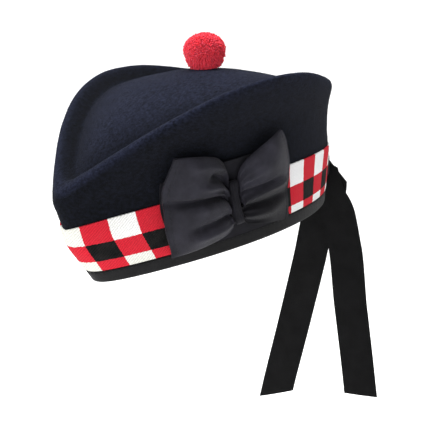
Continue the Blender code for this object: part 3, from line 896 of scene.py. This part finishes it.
def add_backing(look):
    """The cockade's flat ribbon: it follows the band, with edges that lift a little in waves."""
    along = np.linspace(-0.5, 0.5, 61)[:, None] * COCKADE_WIDTH
    height = BINDING_HEIGHT + SEAT_GAP + np.linspace(0, 1, 41)[None, :] * BACKING_HEIGHT
    share = np.abs(along) / COCKADE_WIDTH * 2
    wave = BACKING_LIFT + 0.0004 * step(0.8, 1, share) * (1 + np.sin(height * 260))
    lift = COCKADE_LIFT + wave
    top = worn(on_side(along, height, lift + RIBBON_THICKNESS))
    under = worn(on_side(along, height, lift))
    add_sheet("cockade_ribbon", top, under, look, "cockade_backing")


def wing_shape(wing, out, across):
    """Along, height and lift of a wing. It fans out from the knot as a power of the way out, its
    puff is a sine of that way with rounded edges, and each fold adds a bell across its ray."""
    fan = out**wing.fan
    middle = KNOT_MIDDLE + (WING_MIDDLE - KNOT_MIDDLE) * fan
    half = KNOT_HEIGHT / 2 + (COCKADE_HEIGHT - KNOT_HEIGHT) / 2 * fan
    inner = KNOT_WIDTH / 2 + SEAT_GAP
    reach = 1 - (1 - wing.top_reach) * np.clip(across, 0, 1) ** 2
    reach = reach - (1 - wing.low_reach) * np.clip(across, -1, 0) ** 2
    scallop = 1 + 0.012 * np.sin(across * 7 + wing.side)
    along = wing.side * (inner + (COCKADE_WIDTH / 2 - inner) * out * reach * scallop)
    height = middle + half * across * np.where(across > 0, wing.top_share, 1)
    rounded = np.sqrt(1 - 0.9 * across**4)
    puff = BOW_PUFF * np.sin(np.pi * np.clip(out, 0.05, 0.97)) ** 0.6 * rounded
    puff = puff * (1 - wing.tuck * np.clip(-across, 0, 1) ** 1.2)
    creases = 0
    for fold in wing.folds:
        wide = fold.spread * (0.75 + 0.5 * out)
        bell = np.exp(-(((across - fold.across) / wide) ** 2))
        creases = creases + fold.height * bell * (1 - step(0.55 * fold.reach, fold.reach, out))
    crimps = 0.0005 * np.sin(across * 26 + 2 * wing.side) * (1 - step(0.05, 0.45, out))
    lift = BOW_BASE + np.maximum(puff + creases + crimps, 0.0002)
    return along, height, lift


def add_wing(name, node, wing, look):
    """A half of the bow, thicker at the hem along its outer edge, with the wing's painted light
    and with painted shade where it is tucked in.
    """
    out = np.linspace(0, 1, 61)[:, None]
    across = np.linspace(-1, 1, 121)[None, :]
    along, height, lift = wing_shape(wing, out, across)
    hem = HEM_RISE * step(0.935, 0.95, out + 0 * across)
    top = worn(on_side(along, height, lift + BOW_THICKNESS + hem))
    under = worn(on_side(along, height, lift))
    # Painted light and shade: the wing's painted light, less painted shade over its tucked-in low
    # half.
    shade = wing.shade - wing.tuck * step(0.0, 0.35, -across) + 0 * out
    add_sheet(name, top, under, look, node, shade)


def add_wing_stitches(look):
    """The stitches that hold the hem along the outer edge of each wing."""
    points, faces = [], []
    for wing in (FRONT_WING, BACK_WING):
        across = np.linspace(-0.96, 0.96, 801)
        shape = wing_shape(wing, np.full_like(across, 0.925), across)
        line = on_side(*shape[:2], shape[2] + BOW_THICKNESS + 0.00006)
        along = lengths(line[None], 1)[0]
        begin = np.arange(0.001, along[-1] - 0.003, 0.0032)
        made = stitches(line, along, begin, 0.0021, 0.00018)
        faces.append(made[1] + sum(len(p) for p in points))
        points.append(made[0])
    piece = add_piece("bow_stitches", np.concatenate(points), np.concatenate(faces), look, sharp=0)


def pad(half_width, half_height, thickness, creases, steps=49, around=64):
    """A wrapped roll of ribbon: a rounded oblong section whose size follows a rounded oblong
    along its height, with creases that run round it as sines. Returns width, height and depth."""
    t = np.linspace(-0.995, 0.995, steps)[:, None]
    angle = np.linspace(0, 2 * np.pi, around, endpoint=False)[None, :]
    ends = (1 - np.abs(t) ** 6) ** 0.4
    cos, sin = np.cos(angle), np.sin(angle)
    wide = half_width * np.sign(cos) * np.abs(cos) ** 0.6 * (0.55 + 0.45 * ends)
    deep = thickness / 2 * np.sign(sin) * np.abs(sin) ** 0.6 * ends
    waves = creases * np.sin(9 * np.pi * wide / (2 * half_width) + 1.5 * t) * (sin > 0) * ends
    return wide, half_height * t + 0 * angle, thickness / 2 + deep + waves


def add_pad(name, rings, tall, look, node):
    """A pad's rings as a wrapped ribbon, with its height and the way round as its UV map."""
    piece = swept(name, rings, look, np.stack([tall, lengths(rings, 1)], -1), sharp=70)
    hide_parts(node)


def add_knot(look):
    """The bow's wrap: a small pad on the cap's side, pinched at its waist."""
    wide, tall, deep = pad(KNOT_WIDTH / 2 - 3 * SEAT_GAP, KNOT_HEIGHT / 2, KNOT_THICKNESS, 0.00035)
    wide = wide * (0.86 + 0.14 * (tall / KNOT_HEIGHT * 2) ** 2)
    rings = worn(on_side(wide, KNOT_MIDDLE + tall, BOW_BASE + 0.0001 + deep))
    add_pad("bow_wrap", rings, tall, look, "bow_knot")


def tail_frame():
    """World directions of the hanging tails, and the middle of the band's back behind the tie."""
    stern = worn(wall(np.array([np.pi]), 0.5, SEAT_GAP + BAND_THICKNESS + SEAT_GAP)[0, 0])
    seat = np.array([0, stern[1], stern[2]])
    left = np.array([math.cos(TAIL_TURN), math.sin(TAIL_TURN), 0])
    away = np.array([-math.sin(TAIL_TURN), math.cos(TAIL_TURN), 0])
    return seat, left, away


def add_tie(look):
    """The flat tie behind the band: a wide pad of wrapped ribbon."""
    seat, left, away = tail_frame()
    wide, tall, deep = pad(TIE_WIDTH / 2, TIE_HEIGHT / 2, TIE_THICKNESS, 0.0003)
    middle = seat + away * TIE_STANDOFF + left * TIE_SIDE
    rings = middle + wide[..., None] * left + deep[..., None] * away
    rings[..., 2] += tall
    add_pad("tie_ribbon", rings, tall, look, "back_tie")


def add_tail(name, node, hangs, layer, cuts, look):
    """A hanging ribbon: its middle line is a cubic through the table, its width lies square to
    it, and its face sways a little, more towards its free end."""
    seat, left, away = tail_frame()
    drop, drift = (TAIL_LENGTH * np.array(column) for column in zip(*hangs))
    down = np.linspace(drop[0], drop[-1], 121)
    side = smooth(down, drop, drift)
    slope = np.gradient(side, down)
    length = np.hypot(1, slope)
    share = (down - down[0]) / np.ptp(down)
    out = TIE_STANDOFF + TIE_THICKNESS + SEAT_GAP + layer * (RIBBON_THICKNESS + 2 * SEAT_GAP)
    reach = np.linspace(-0.5, 0.5, 25)[None, :] * TAIL_WIDTH
    slant = reach * (cuts.at_tie + (cuts.at_end - cuts.at_tie) * share[:, None])
    across = side[:, None] + (reach + slant * slope[:, None]) / length[:, None]
    fall = down[:, None] + (slant - reach * slope[:, None]) / length[:, None]
    free = step(0.35, 1.0, share)[:, None]
    sway = free * (0.0011 * np.sin(fall * 46 + 2 * layer) + 0.0010 * (reach / TAIL_WIDTH * 2) ** 2)
    hem = HEM_RISE * step(0.972, 0.976, share)[:, None] + 0 * reach

    def face(lift):
        depth = out + sway * (1 if layer else 0.6) + lift
        points = seat + depth[..., None] * away + across[..., None] * left
        points[..., 2] -= fall
        return points

    top, under = face(RIBBON_THICKNESS + hem), face(0 * hem)
    add_sheet(name, top, under, look, node)


def add_floor():
    """A pale floor well below the tails that curves up into a wall far behind: a flat run, a
    quarter of a circle and a straight rise, carried sideways."""
    level, front, run, round_off, rise, half = -0.42, 3.0, 3.0, 2.0, 6.0, 9.0
    bend = np.linspace(0, np.pi / 2, 24)
    flat, curve = np.linspace(-front, run, 8), run + round_off * np.sin(bend)
    ahead = np.concatenate([flat, curve, [run + round_off]])
    height = np.concatenate([np.zeros(8), round_off * (1 - np.cos(bend)), [round_off + rise]])
    sideways = np.linspace(-half, half, 7)
    back = np.array([-math.sin(CAMERA_AZIMUTH), math.cos(CAMERA_AZIMUTH), 0])
    across = np.array([back[1], -back[0], 0])
    top = ahead[:, None, None] * back + sideways[None, :, None] * across
    top = top + np.array([0, 0, 1.0]) * (level + height)[:, None, None]
    look = Shader("pale_floor", (0.9, 0.9, 0.9), 0.95, Specular_IOR_Level=0.1)
    grain = look.noise(look.place(), 40, 2.0)
    look.paint(Base_Color=look.mix(grain, (0.90, 0.90, 0.90), (0.93, 0.93, 0.93)))
    look.paint(Emission_Color=(1, 1, 1, 1), Emission_Strength=0.55)
    mesh = bpy.data.meshes.new("floor")
    quads = grid_quads(*top.shape[:2], tube=False)
    mesh.from_pydata(top.reshape(-1, 3).tolist(), [], quads.tolist())
    mesh.shade_smooth()
    mesh.materials.append(look.material)
    floor = add_object("floor", mesh)


def add_light(name, place, target, size, power):
    """A round area lamp that faces its target."""
    lamp = bpy.data.lights.new(name, "AREA")
    lamp.shape = "DISK"
    lamp.size = size
    lamp.energy = power
    holder = add_object(name, lamp)
    holder.location = place
    holder.rotation_euler = (Vector(target) - Vector(place)).to_track_quat("-Z", "Y").to_euler()


def light_the_room():
    """A white surround that the camera sees brighter than the cap does, a soft key high in front,
    a light overhead, and a weak fill low on the camera's side."""
    bpy.context.scene.view_settings.view_transform = "Standard"
    world = bpy.data.worlds.new("studio")
    bpy.context.scene.world = world
    world.use_nodes = True
    nodes, links = world.node_tree.nodes, world.node_tree.links
    surround = nodes["Background"]
    surround.inputs["Color"].default_value = (1, 1, 1, 1)
    seen = nodes.new("ShaderNodeLightPath")
    strength = nodes.new("ShaderNodeMapRange")
    links.new(seen.outputs["Is Camera Ray"], strength.inputs["Value"])
    strength.inputs["To Min"].default_value = 0.42
    strength.inputs["To Max"].default_value = 1.05
    links.new(strength.outputs[0], surround.inputs["Strength"])
    add_light("key", (-0.55, -0.75, 1.35), (0, 0, 0.05), 0.9, 24)
    add_light("top", (0.15, 0.25, 1.5), (0, 0, 0.05), 1.0, 30)
    add_light("fill", (0.7, -1.35, 0.05), (0, 0, 0.0), 0.9, 14)


def add_camera():
    """The photograph's camera: its azimuth, elevation and distance from the rim's middle, and
    the shift that puts that middle at its pixel of the frame."""
    level = math.cos(CAMERA_ELEVATION)
    side, front = math.sin(CAMERA_AZIMUTH) * level, -math.cos(CAMERA_AZIMUTH) * level
    back = Vector((side, front, math.sin(CAMERA_ELEVATION)))
    lens = bpy.data.cameras.new("camera")
    lens.sensor_width = SENSOR_WIDTH
    lens.lens = SENSOR_WIDTH * PIXELS_PER_METRE * CAMERA_DISTANCE / FRAME_PIXELS
    lens.shift_x = (FRAME_PIXELS / 2 - MIDDLE_X) / FRAME_PIXELS
    lens.shift_y = (MIDDLE_Y - FRAME_PIXELS / 2) / FRAME_PIXELS
    camera = add_object("camera", lens)
    camera.location = back * CAMERA_DISTANCE
    camera.rotation_euler = (-back).to_track_quat("-Z", "Y").to_euler()
    bpy.context.scene.camera = camera


felt = felt_look()
# One black grosgrain in painted copies: the bow's is painted lighter as painted light, and the
# binding's and the tails' are painted darker as painted shade.
binding = ribbon_look("binding_grosgrain_painted_shade", (0.0034, 0.0034, 0.0038), rib=0.0009, sheen=0.02)
ribbon = ribbon_look("black_grosgrain", (0.0050, 0.0048, 0.0070), gloss=0.08)
bow = ribbon_look("bow_grosgrain_painted_light_and_shade", (0.0155, 0.0150, 0.0205), gloss=0.08, folds=True)
tails = ribbon_look("tail_grosgrain_painted_shade", (0.0030, 0.0030, 0.0032), sheen=0.01, gloss=0.05)
thread = ribbon_look("black_thread", (0.0090, 0.0090, 0.0100), rib=0.0003)
yarn = yarn_look()

add_camera()
light_the_room()
add_floor()

crown_points, crown_normals = add_crown(felt)
add_fuzz(crown_points, crown_normals, felt)
add_band()
add_binding(binding)
add_rim_stitches(thread)
add_toorie(yarn)
add_backing(ribbon)
add_wing("bow_front_fold", "bow_wing_front", FRONT_WING, bow)
add_wing("bow_back_fold", "bow_wing_back", BACK_WING, bow)
add_wing_stitches(thread)
add_knot(ribbon)
add_tie(ribbon)
add_tail("tail_ribbon_left", "tail_left", LEFT_TAIL, 0, LEFT_CUTS, tails)
add_tail("tail_ribbon_right", "tail_right", RIGHT_TAIL, 1, RIGHT_CUTS, tails)
